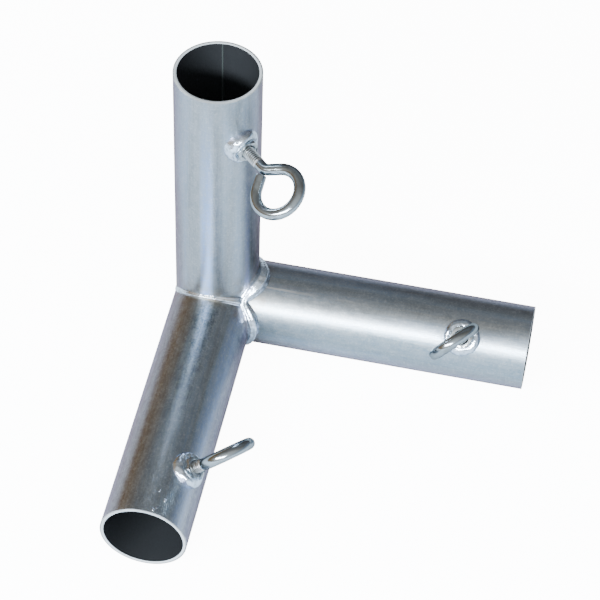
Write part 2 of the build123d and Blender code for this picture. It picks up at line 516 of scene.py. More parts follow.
@dataclass(frozen=True)
class SatinTube:
    """Satin zinc-coated tube with fine grain, drawn streaks and a bare cut mouth, with painted shade in its
    bore, at its grazing edges and on its mouth's outer ring, and stripes of painted reflection.
    """

    name: str
    along: Vector
    mouth: float
    painted_reflection_bands: tuple[Band, ...] = ()
    scratch: Band | None = None
    colour: Colour = (0.290, 0.330, 0.363, 1)
    cool: Colour = (0.33, 0.42, 0.53, 1)
    dull: Colour = (0.29, 0.305, 0.32, 1)
    spangle: Colour = (0.49, 0.53, 0.56, 1)
    speck: Colour = SPECK
    straw: Colour = (0.27, 0.215, 0.13, 1)
    # Painted shade: the bore's near-black tone stands in for the shade inside the tube
    bore: Colour = (0.026, 0.030, 0.034, 1)
    bare: Colour = (0.60, 0.67, 0.72, 1)
    # Painted shade: a dark outline on the outer part of the cut mouth
    rolled: Colour = (0.15, 0.17, 0.185, 1)
    # Painted shade: a dark lilac tone towards the tube's grazing edges
    edge: Colour = (0.235, 0.180, 0.215, 1)
    edge_tint: Colour = (0.56, 0.46, 0.53, 1)
    drawn_scale: tuple[float, float, float] = (1.0, 1.0, 0.07)
    grain_scale: float = 1150.0
    streak_scale: float = 900.0
    cool_patches: Patches = Patches(85.0, 0.54)
    dull_patches: Patches = Patches(60.0, 0.56)
    speck_patches: Patches = Patches(820.0, 0.60)
    scratch_patches: Patches = Patches(520.0, 0.56)
    dull_share: float = 0.35
    speck_share: float = 0.2
    straw_share: float = 0.55
    straw_reach: float = 0.012
    mouth_skin: float = 0.0002
    bore_matt: float = 0.8
    worn_rough: float = 0.2
    streak_height: float = 0.6
    bump: float = 0.22
    bump_depth: float = 0.0002
    painted_edge_shade_span: Span = (0.62, 0.96, 0.0, 0.6)
    spangle_span: Span = (0.84, 1.18, 0.0, 0.55)
    ring_span: Span = (0.0, 1.0, 0.8, 0.5)
    metal_span: Span = (0.0, 1.0, 1.0, 0.35)
    rough_span: Span = (0.35, 0.65, 0.29, 0.38)

    def material(self) -> bpy.types.Material:
        """Builds the finish.

        Returns:
            The new material.
        """
        made, bench, shader = bench_for(self.name)
        ground = self.ground(bench)
        grain = Effects.place(bench, Effects.grain(), Vector=ground.flat, Scale=self.grain_scale)
        streaks = Effects.place(bench, Effects.grain(), Vector=ground.drawn, Scale=self.streak_scale)
        values = dict(Wall_Middle=WALL_MIDDLE * MM, Mouth=self.mouth - self.mouth_skin)
        zones = Effects.place(bench, Effects.pipe_zones(), Vector=ground.flat, **values)
        inside, rim, outer_rim, worn_edge = zones.outputs
        cooled = self.cool_patches.mask(bench, ground.drawn)
        tone = self.zinc(ground, cooled)
        tone = self.marks(ground, tone, bench.math("ADD", grain.outputs["Tone"], streaks.outputs["Tone"]))
        # Painted shade: the bore takes the near-black tone of the shade inside it
        tone = bench.mix(inside, tone, self.bore)
        tone = bench.mix(rim, tone, self.bare)
        # Painted shade: the mouth's outer ring is darkened, broken up by the cool patches
        ring = bench.times(outer_rim, bench.span(cooled, *self.ring_span))
        bench.feed(shader.inputs["Base Color"], bench.mix(ring, tone, self.rolled))
        matt = bench.math("MAXIMUM", rim, bench.times(inside, self.bore_matt))
        bench.feed(shader.inputs["Metallic"], bench.span(matt, *self.metal_span))
        shader.inputs["Specular Tint"].default_value = self.edge_tint
        rough = bench.span(grain.outputs["Tone"], *self.rough_span)
        worn = bench.times(bench.math("ADD", inside, rim), self.worn_rough)
        bench.feed(shader.inputs["Roughness"], bench.math("ADD", rough, worn, clamp=True))
        drawn_height = bench.times(streaks.outputs["Height"], self.streak_height)
        height = bench.math("ADD", grain.outputs["Height"], drawn_height)
        rounded = bench.bump(worn_edge, 1.0, 1.0)
        bench.feed(shader.inputs["Normal"], bench.bump(height, self.bump, self.bump_depth, rounded))
        return made

    def ground(self, bench: NodeBench) -> Ground:
        """Adds the readings of place that the finish works on.

        Args:
            bench: the material's bench.

        Returns:
            The bench with its readings.
        """
        place = bench.add("TexCoord").outputs["Object"]
        turn = self.along.rotation_difference(UP)
        turned = bench.add("Mapping", {"vector_type": "POINT"}, Vector=place)
        turned.inputs["Rotation"].default_value = turn.to_euler()
        flat = turned.outputs["Vector"]
        drawn = bench.add("Mapping", {"vector_type": "POINT"}, Vector=flat, Scale=self.drawn_scale)
        return Ground(bench, turn, place, flat, drawn.outputs["Vector"])

    def zinc(self, ground: Ground, cooled: Socket) -> Socket:
        """The coat's tone: cool and dull patches, and stripes of painted reflection along the tube.

        Args:
            ground: what the finish is laid on.
            cooled: the mask of the cool patches.

        Returns:
            The tone.
        """
        bench = ground.bench
        tone = bench.mix(cooled, self.colour, self.cool)
        dulled = bench.times(self.dull_patches.mask(bench, ground.drawn), self.dull_share)
        tone = bench.mix(dulled, tone, self.dull)
        # Painted reflection: each band lays a reflected or shaded tone on one side of the tube
        for band in self.painted_reflection_bands:
            tone = bench.mix(band.mask(bench, ground.flat, ground.turn), tone, band.colour)
        return tone

    def marks(self, ground: Ground, tone: Socket, sparkle: Socket) -> Socket:
        """Lays the painted edge shade, the sparkle, the specks, the scratch and the heat stain over a tone.

        Args:
            ground: what the finish is laid on.
            tone: the coat's tone.
            sparkle: the grain's and the streaks' tones together.

        Returns:
            The marked tone.
        """
        bench = ground.bench
        # Painted shade: the tone darkens towards the grazing edges, where the surface turns away
        facing = bench.add("LayerWeight", None, Blend=0.5).outputs["Facing"]
        tone = bench.mix(bench.span(facing, *self.painted_edge_shade_span), tone, self.edge)
        tone = bench.mix(bench.span(sparkle, *self.spangle_span), tone, self.spangle)
        specks = bench.times(self.speck_patches.mask(bench, ground.flat), self.speck_share)
        tone = bench.mix(specks, tone, self.speck)
        if self.scratch is not None:
            line = self.scratch.mask(bench, ground.flat, ground.turn)
            broken = self.scratch_patches.mask(bench, ground.drawn)
            tone = bench.mix(bench.times(line, broken), tone, self.scratch.colour)
        heat = Effects.place(bench, Effects.heat(), Vector=ground.place, Reach=self.straw_reach)
        return bench.mix(bench.times(heat.outputs["Mask"], self.straw_share), tone, self.straw)


@dataclass(frozen=True)
class WeldSilver:
    """Bright lumpy weld metal under zinc spray, with brown patches of heat tint."""

    name: str = "weld_silver"
    colour: Colour = (0.73, 0.85, 1.0, 1)
    shade: Colour = (0.45, 0.53, 0.61, 1)
    tint: Colour = (0.30, 0.25, 0.16, 1)
    grain_scale: float = 900.0
    shade_patches: Patches = Patches(260.0, 0.58)
    tint_patches: Patches = Patches(90.0, 0.71)
    roughness: tuple[float, float] = (0.14, 0.28)
    bump: float = 0.32
    bump_depth: float = 0.0003

    def material(self) -> bpy.types.Material:
        """Builds the finish.

        Returns:
            The new material.
        """
        made, bench, shader = bench_for(self.name)
        place = bench.add("TexCoord").outputs["Object"]
        grain = Effects.place(bench, Effects.grain(), Vector=place, Scale=self.grain_scale)
        tone = bench.mix(self.shade_patches.mask(bench, place), self.colour, self.shade)
        tone = bench.mix(self.tint_patches.mask(bench, place), tone, self.tint)
        bench.feed(shader.inputs["Base Color"], tone)
        shader.inputs["Metallic"].default_value = 1.0
        rough = bench.span(grain.outputs["Tone"], *GRAIN_TONES, *self.roughness)
        bench.feed(shader.inputs["Roughness"], rough)
        normal = bench.bump(grain.outputs["Height"], self.bump, self.bump_depth)
        bench.feed(shader.inputs["Normal"], normal)
        return made


@dataclass(frozen=True)
class PlatedSteel:
    """Plated hardware: bright wire or duller nut steel, with handling marks, and grime and painted shade in
    its thread roots.
    """

    name: str
    colour: Colour
    worn: Colour
    roughness: tuple[float, float]
    bump: float = 0.08
    bump_depth: float = 0.0003
    edge_tint: Colour = WHITE
    crest: Colour = (0.78, 0.81, 0.82, 1)
    grime_and_root_shade: Colour = (0.05, 0.049, 0.047, 1)
    root_darkening_curve: float = 0.9
    thread_rough: float = 0.32
    grain_scale: float = 1100.0
    worn_patches: Patches = Patches(150.0, 0.55)

    def material(self) -> bpy.types.Material:
        """Builds the finish.

        Returns:
            The new material.
        """
        made, bench, shader = bench_for(self.name)
        place = bench.add("TexCoord").outputs["Object"]
        grain = Effects.place(bench, Effects.grain(), Vector=place, Scale=self.grain_scale)
        tone = bench.mix(self.worn_patches.mask(bench, place), self.colour, self.worn)
        groove = bench.add("Attribute", {"attribute_name": GROOVE}).outputs["Fac"]
        cut = bench.span(groove, 0.0, CREST)
        tone = bench.mix(cut, tone, self.crest)
        # Grime and painted shade: the thread's roots, and its flanks less, darken to near black
        deep = bench.math("POWER", bench.span(groove, CREST, 1.0), self.root_darkening_curve)
        bench.feed(shader.inputs["Base Color"], bench.mix(deep, tone, self.grime_and_root_shade))
        shader.inputs["Metallic"].default_value = 1.0
        shader.inputs["Specular Tint"].default_value = self.edge_tint
        rough = bench.span(grain.outputs["Tone"], *GRAIN_TONES, *self.roughness)
        rough = bench.math("MAXIMUM", rough, bench.times(cut, self.thread_rough))
        bench.feed(shader.inputs["Roughness"], rough)
        normal = bench.bump(grain.outputs["Height"], self.bump, self.bump_depth)
        bench.feed(shader.inputs["Normal"], normal)
        return made


class Shape:
    """A bmesh in millimetres that grows ring by ring."""

    def __init__(self) -> None:
        """Starts empty."""
        self.mesh = bmesh.new()
        self.edge: list[bmesh.types.BMEdge] = []

    def circle(self, radius: float, segments: int, place: Matrix, capped: bool = True) -> None:
        """Starts a skin from a circle.

        Args:
            radius: the circle's radius.
            segments: its number of sides.
            place: where it lies, its normal along the matrix's Z.
            capped: whether it is closed by a face.
        """
        ring = dict(cap_ends=capped, segments=segments, radius=radius, matrix=place)
        corners = set(bmesh.ops.create_circle(self.mesh, **ring)["verts"])
        self.edge = [e for e in self.mesh.edges if e.verts[0] in corners and e.verts[1] in corners]

    def grow(self, move: Move) -> None:
        """Extrudes the open edge and moves each new corner.

        Args:
            move: gives a corner's new place from its old one.
        """
        made = bmesh.ops.extrude_edge_only(self.mesh, edges=self.edge)["geom"]
        corners = {part for part in made if isinstance(part, bmesh.types.BMVert)}
        edges = [part for part in made if isinstance(part, bmesh.types.BMEdge)]
        self.edge = [edge for edge in edges if edge.verts[0] in corners and edge.verts[1] in corners]
        for corner in corners:
            corner.co = move(corner.co)

    def run(self, step: Vector, cuts: int = 1) -> None:
        """Extrudes the open edge straight along a vector, in equal cuts."""
        for _ in range(cuts):
            self.grow(lambda co: co + step / cuts)

    def turn(self, centre: Vector, axis: Vector, angle: float, steps: int) -> None:
        """Spins the open edge about an axis.

        Args:
            centre: a point of the axis.
            axis: its direction.
            angle: how far it spins.
            steps: in how many steps.
        """
        arc = dict(cent=centre, axis=axis, angle=angle, steps=steps, dvec=(0, 0, 0))
        made = bmesh.ops.spin(self.mesh, geom=self.edge, **arc)
        self.edge = [part for part in made["geom_last"] if isinstance(part, bmesh.types.BMEdge)]

    def middle(self) -> Vector:
        """The middle of the open edge."""
        return sum((e.verts[0].co + e.verts[1].co for e in self.edge), Vector()) / (2 * len(self.edge))

    def cap(self) -> None:
        """Closes the open edge with a face."""
        bmesh.ops.edgeloop_fill(self.mesh, edges=self.edge)

    def ripple(self, rule: Callable[[Vector], float]) -> None:
        """Moves each corner out along its normal.

        Args:
            rule: gives how far, from the corner's place.
        """
        self.mesh.normal_update()
        for corner, push in [(v, v.normal * rule(v.co)) for v in self.mesh.verts]:
            corner.co += push

    def each(self, move: Move) -> None:
        """Moves every corner by a rule."""
        for corner in self.mesh.verts:
            corner.co = move(corner.co)

    def finish(
        self, name: str, place: Matrix = Matrix.Identity(4), angle: float = SMOOTH_ANGLE
    ) -> bpy.types.Object:
        """Turns the shape into an object at the origin, in metres.

        Args:
            name: the object's name.
            place: where the shape stands, in millimetres.
            angle: the bend past which an edge stays sharp.

        Returns:
            The new object.
        """
        bmesh.ops.remove_doubles(self.mesh, verts=self.mesh.verts, dist=MERGE_GAP)
        bmesh.ops.recalc_face_normals(self.mesh, faces=self.mesh.faces)
        bmesh.ops.transform(self.mesh, matrix=Matrix.Scale(MM, 4) @ place, verts=self.mesh.verts)
        data = bpy.data.meshes.new(name)
        self.mesh.to_mesh(data)
        self.mesh.free()
        data.shade_smooth()
        data.set_sharp_from_angle(angle=angle)
        made = bpy.data.objects.new(name, data)
        bpy.context.scene.collection.objects.link(made)
        return made


def dress(
    piece: bpy.types.Object, finish: bpy.types.Material, body: str, slot: Slot, nodes: Iterable[str] = ()
) -> None:
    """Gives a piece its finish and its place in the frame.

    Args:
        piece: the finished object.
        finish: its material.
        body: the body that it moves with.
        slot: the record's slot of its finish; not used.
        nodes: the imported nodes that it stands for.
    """
    piece.data.materials.clear()
    piece.data.materials.append(finish)
    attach(piece, body)
    if nodes:
        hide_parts(*nodes)
    log.info("%s: %d faces on %s", piece.name, len(piece.data.polygons), body)


def lumps(co: Vector, size: float, seed: float) -> float:
    """Smooth noise from -1 to 1 at a lump size in millimetres, its field shifted by the seed."""
    return noise.noise(co / size + Vector((seed, seed * 1.7, -seed)))


def columns(x: Vector, y: Vector, z: Vector, origin: Vector) -> Matrix:
    """A matrix from three directions and a place.

    Args:
        x: where its X points.
        y: where its Y points.
        z: where its Z points.
        origin: the place.

    Returns:
        The matrix.
    """
    made = Matrix((x, y, z)).transposed().to_4x4()
    made.translation = origin
    return made


def quarter(first: Vector, second: Vector, clock: float) -> Vector:
    """The direction between two square axes, turned by degrees from the first."""
    return first * math.cos(math.radians(clock)) + second * math.sin(math.radians(clock))


def clear_of_bore(first: float, second: float) -> tuple[float, float]:
    """Moves a point of a tube's cross-section out to the wall where it lies in the bore.

    Args:
        first: its first coordinate from the tube's axis.
        second: its second coordinate.

    Returns:
        Both coordinates.
    """
    reach = math.hypot(first, second)
    if reach >= WALL_MIDDLE:
        return first, second
    return first * WALL_MIDDLE / reach, second * WALL_MIDDLE / reach


def around(values: Sequence, station: int, reach: int, closed: bool) -> list:
    """The values at a station and on both sides of it.

    Args:
        values: a value for each station. In a closed row, the last repeats the first.
        station: the middle one.
        reach: how many are taken on each side.
        closed: whether the row runs on from its end to its start.

    Returns:
        The values in order.
    """
    last = len(values) - 1
    wanted = range(station - reach, station + reach + 1)
    return [values[i % last if closed else min(max(i, 0), last)] for i in wanted]


@dataclass(frozen=True)
class Seat:
    """A bolt's place: the point on the tube's axis, the tube's direction and the bolt's."""

    origin: Vector
    along: Vector
    out: Vector

    @property
    def across(self) -> Vector:
        """The direction round the tube."""
        return self.out.cross(self.along)

    def frame(self) -> Matrix:
        """Local X along the tube, Y round it and Z out of it."""
        return columns(self.along, self.across, self.out, self.origin)

    def bend_frame(self, turn: float) -> Matrix:
        """Local X out of the tube, Y to the side that the wire bends to."""
        side = self.along * math.cos(turn) + self.across * math.sin(turn)
        return columns(self.out, side, self.out.cross(side), self.origin)


@dataclass
class SleeveTube:
    """One socket tube: its finish, and the low weld seam along its bore."""

    name: str
    along: Vector
    length: float
    seam_side: Vector
    painted_reflection_bands: tuple[Band, ...] = ()
    scratch: Band | None = None
    seam_width: float = 0.45
    seam_height: float = 0.25
    seam_start: float = 26.0
    seam_end_gap: float = 0.4
    seam_sides: int = 14
    seam_cuts: int = 60
    seam_lump: float = 0.06
    seam_lump_size: float = 2.2
    seam_seed: float = 3.0

    def build(self) -> None:
        """Dresses the tube's node and adds its seam."""
        mouth = self.length * MM
        finish = SatinTube(self.name + "_satin", self.along, mouth, self.painted_reflection_bands, self.scratch).material()
        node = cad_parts[self.name]
        for slot in node.material_slots:
            slot.material = finish
        log.info("%s: dressed, %d faces", self.name, len(node.data.polygons))
        # The seam lies in the bore, so it takes painted shade there, a little paler than the bore's
        self.build_seam(SatinTube(self.name + "_seam_satin", self.along, mouth, bore=PAINTED_SEAM_SHADE).material())

    def build_seam(self, finish: bpy.types.Material) -> None:
        """Builds the seam that the tube was rolled and welded along, as a low ridge in its bore.

        Args:
            finish: the seam's finish.
        """
        start = self.along * self.seam_start + self.seam_side * BORE_R
        wide = self.along.cross(self.seam_side) * self.seam_width
        place = columns(wide, self.seam_side * -self.seam_height, self.along, start)
        shape = Shape()
        shape.circle(1.0, self.seam_sides, place)
        shape.run(self.along * (self.length - self.seam_end_gap - self.seam_start), self.seam_cuts)
        shape.cap()
        shape.ripple(lambda co: self.seam_lump * lumps(co, self.seam_lump_size, self.seam_seed))
        dress(shape.finish(self.name + "_seam"), finish, "connector", Slot.TUBE)


@dataclass
class Run:
    """A stretch of seam along an ellipse: from start to stop degrees, from the short axis to the long."""

    long_dir: Vector
    short_dir: Vector
    start: float
    stop: float

    def point(self, share: float) -> Vector:
        """The seam's point at a share of the run.

        Args:
            share: how far along the run.

        Returns:
            The point.
        """
        angle = math.radians(self.start + (self.stop - self.start) * share)
        long_part = self.long_dir.normalized() * math.sqrt(2) * math.sin(angle)
        return (self.short_dir * math.cos(angle) + long_part) * TUBE_R

    def openness(self, spot: Vector) -> float:
        """How flat the tubes meet: 1 where one runs on into the other, 0 where they stand square."""
        return (spot.dot(self.short_dir) / TUBE_R) ** 2


@dataclass(frozen=True)
class Heap:
    """An extra heap along a closed seam: its size, its middle and its spread, as shares of the way."""

    size: float
    middle: float
    spread: float

    def at(self, share: float) -> float:
        """How much of it lies at a share of the way round."""
        off = (share - self.middle + 0.5) % 1.0 - 0.5
        return self.size * math.exp(-((off / self.spread) ** 2))


@dataclass(frozen=True)
class Wave:
    """A wave along a closed seam: its size, how often it comes on the way round, and its shift."""

    size: float
    count: int
    shift: float = 0.0

    def at(self, share: float) -> float:
        """Its height at a share of the way round."""
        return self.size * math.sin(2 * math.pi * self.count * share + self.shift)


@dataclass
class Bead:
    """How one weld bead is laid: its thickness, how it strays off the seam, its lumps and its ends."""

    thick: Callable[[float], float]
    shift: Callable[[float], Vector]
    seed: float
    closed: bool
    lump: float = 0.2
    ripple: float = 0.09
    ridges: float = 0.07


@dataclass
class JointWelds:
    """The welds of the corner: the neat mitre bead and the broad bead round the side tube."""

    elbow_r: float = 2.3
    elbow_back_r: float = 1.7
    elbow_back_start: float = 0.45
    elbow_back_fade: float = 0.2
    elbow_fan_r: float = 1.7
    elbow_fan_spread: float = 0.07
    elbow_wave: float = 0.06
    elbow_wave_rate: float = 23.0
    branch_r: float = 3.1
    branch_waves: tuple[Wave, ...] = (Wave(0.05, 5), Wave(0.03, 13, 1.0))
    patch: Heap = Heap(1.2, 0.955, 0.045)
    fan: Heap = Heap(2.2, 0.055, 0.045)
    pinch: Heap = Heap(0.3, 0.0, 0.022)
    stray: float = 0.4
    stray_wave: Wave = Wave(0.3, 3)
    patch_stray: Heap = Heap(2.2, 0.96, 0.055)
    fan_stray: Heap = Heap(1.5, 0.055, 0.04)
    ripple_pitch: float = 2.3
    ripple_way: tuple[float, float, float] = (0.62, -0.71, 0.55)
    ripple_stray: float = 0.5
    ripple_stray_size: float = 4.0
    lump_size: float = 3.4
    small_lump: float = 0.4
    small_lump_size: float = 1.4
    small_lump_seed: float = 5.0
    fine_ridges: int = 9
    broad_ridges: int = 4
    broad_share: float = 0.6
    stations: int = 130
    smooth_reach: int = 5
    ring: int = 34
    flatten: float = 0.62
    sink: float = 0.3
    side_start: float = 2.0
    lift: float = 0.3

    def path(self, runs: Sequence[Run], laid: Bead) -> tuple[list[Vector], list[float]]:
        """Follows runs of seam.

        Args:
            runs: the stretches.
            laid: how the bead is laid along them.

        Returns:
            The bead's smoothed points, and how flat the tubes meet at each.
        """
        points, opens = [], []
        for run in runs:
            spots = [run.point(i / self.stations) for i in range(self.stations)]
            points += spots
            opens += [run.openness(spot) for spot in spots]
        points.append(runs[-1].point(1.0))
        opens.append(runs[-1].openness(points[-1]))
        total = len(points) - 1
        points = [point + laid.shift(i / total) for i, point in enumerate(points)]
        window = 2 * self.smooth_reach + 1
        near = [around(points, i, self.smooth_reach, laid.closed) for i in range(total + 1)]
        near_opens = [around(opens, i, self.smooth_reach, laid.closed) for i in range(total + 1)]
        return [sum(some, Vector()) / window for some in near], [sum(some) / window for some in near_opens]

    def section(self, point: Vector, heading: Vector, opened: float, wide: float) -> Matrix:
        """Where the bead's section stands: flat where the tubes run on, full where they stand square.

        Args:
            point: the seam's point.
            heading: the seam's direction.
            opened: how flat the tubes meet there.
            wide: the section's radius beside the seam.

        Returns:
            The section's place, its Z along the seam.
        """
        outward = (point - heading * point.dot(heading)).normalized()
        high = wide * (1 - self.flatten * opened)
        middle = point - outward * high * self.sink * opened
        return columns(outward * high, heading.cross(outward) * wide, heading, middle)

    def bead(self, runs: Sequence[Run], laid: Bead) -> Shape:
        """A rippled bead along runs of seam.

        Args:
            runs: the stretches that it follows.
            laid: how it is laid.

        Returns:
            The bead's shape.
        """
        points, opens = self.path(runs, laid)
        total = len(points) - 1
        shape = Shape()
        before = None
        for i, (point, opened) in enumerate(zip(points, opens)):
            behind, _, ahead = around(points, i, 1, laid.closed)
            place = self.section(point, (ahead - behind).normalized(), opened, laid.thick(i / total))
            if before is None:
                shape.circle(1.0, self.ring, place, capped=not laid.closed)
                self.add_ridges(shape, place, laid)
            else:
                relative = place @ before.inverted()
                shape.grow(lambda co: relative @ co)
            before = place
        if not laid.closed:
            shape.cap()
        shape.ripple(lambda co: self.roughness_of(co, laid))
        shape.each(self.out_of_bores)
        return shape

    def add_ridges(self, shape: Shape, place: Matrix, laid: Bead) -> None:
        """Gives the first ring the low ridges of passes laid side by side.

        Args:
            shape: the bead with its first ring.
            place: where that ring lies.
            laid: how the bead is laid.
        """
        back = place.inverted()

        def ridge(co: Vector) -> Vector:
            """Moves one corner.

            Args:
                co: its place.

            Returns:
                Its new place.
            """
            local = back @ co
            angle = math.atan2(local.y, local.x)
            fine = math.cos(self.fine_ridges * angle + laid.seed)
            local *= 1 + laid.ridges * (fine + self.broad_share * math.cos(self.broad_ridges * angle))
            return place @ local

        shape.each(ridge)

    def roughness_of(self, co: Vector, laid: Bead) -> float:
        """How far the bead's skin stands out: lumps, and the crescents that each dab leaves.

        Args:
            co: a point of the bead.
            laid: how the bead is laid.

        Returns:
            The distance.
        """
        x, y, z = self.ripple_way
        stray = self.ripple_stray * lumps(co, self.ripple_stray_size, laid.seed)
        phase = (co.x * x + co.y * y + co.z * z) / self.ripple_pitch + stray
        waves = laid.ripple * math.sin(2 * math.pi * phase)
        small = self.small_lump * lumps(co, self.small_lump_size, laid.seed + self.small_lump_seed)
        return laid.lump * (lumps(co, self.lump_size, laid.seed) + small) + waves

    def out_of_bores(self, co: Vector) -> Vector:
        """Keeps the bead's hidden side within the tube walls, and all of it off the floor.

        Args:
            co: a corner's place.

        Returns:
            Its new place.
        """
        spot = co.copy()
        if spot.y + spot.z > 0:
            spot.x, spot.y = clear_of_bore(spot.x, spot.y)
        else:
            spot.x, spot.z = clear_of_bore(spot.x, spot.z)
        elbow = math.hypot(spot.x, spot.y if spot.y + spot.z > 0 else spot.z)
        if spot.x > self.side_start and elbow > TUBE_R:
            spot.y, spot.z = clear_of_bore(spot.y, spot.z)
        spot.z = max(spot.z, self.lift - TUBE_R)
        return spot

    def elbow_thickness(self, share: float) -> float:
        """How thick the mitre bead is: thinner behind, where one pass was laid.

        Args:
            share: how far along the bead.

        Returns:
            Its radius.
        """
        back = min(1.0, max(0.0, (share - self.elbow_back_start) / self.elbow_back_fade))
        fan = self.elbow_fan_r * math.exp(-((share / self.elbow_fan_spread) ** 2))
        plain = self.elbow_r + fan + (self.elbow_back_r - self.elbow_r) * back
        return plain * (1 + self.elbow_wave * math.sin(self.elbow_wave_rate * share))

    def branch_thickness(self, share: float) -> float:
        """How thick the broad bead is: fullest in front, on both sides of the mitre.

        Args:
            share: how far round the bead.

        Returns:
            Its radius.
        """
        wave = sum(wave.at(share) for wave in self.branch_waves)
        heap = self.patch.at(share) + self.fan.at(share)
        return (self.branch_r * (1 + wave) + heap) * (1 - self.pinch.at(share))

    def branch_wander(self, share: float) -> Vector:
        """How far the broad bead strays along the side tube."""
        stray = self.stray + self.stray_wave.at(share) + self.patch_stray.at(share)
        return Vector((stray + self.fan_stray.at(share), 0, 0))

    def build(self, weld: bpy.types.Material, neat: bpy.types.Material) -> None:
        """Builds and dresses both beads.

        Args:
            weld: the finish of the broad weld.
            neat: the finish of the mitre's bead.
        """
        mitre = Run(Vector((0, -1, 1)), RIGHT, 45, 315)
        calm = dict(lump=0.12, ripple=0.05, ridges=0.09)
        laid = Bead(self.elbow_thickness, lambda share: Vector(), seed=2.0, closed=False, **calm)
        elbow = self.bead([mitre], laid).finish("elbow_bead", angle=WELD_ANGLE)
        dress(elbow, neat, "connector", Slot.WELD, ["elbow_weld"])
        runs = [
            Run(Vector((1, 0, 1)), Vector((0, 1, 0)), 135, 0),
            Run(Vector((1, 0, -1)), Vector((0, 1, 0)), 0, 45),
            Run(Vector((1, 1, 0)), Vector((0, 0, -1)), 45, 0),
            Run(Vector((1, -1, 0)), Vector((0, 0, -1)), 0, 135),
        ]
        laid = Bead(self.branch_thickness, self.branch_wander, seed=7.0, closed=True, ridges=0.075)
        branch = self.bead(runs, laid).finish("branch_bead", angle=WELD_ANGLE)
        dress(branch, weld, "connector", Slot.WELD, ["branch_weld"])


@dataclass(frozen=True)
class Lobe:
    """A heap of weld at one side of a nut: its direction in degrees, spread, height and reach."""

    towards: float
    spread: float
    height: float
    reach: float

    def share(self, angle: float) -> float:
        """How much of the heap stands in a direction."""
        off = (math.degrees(angle) - self.towards + 180) % 360 - 180
        return math.exp(-((off / self.spread) ** 2))


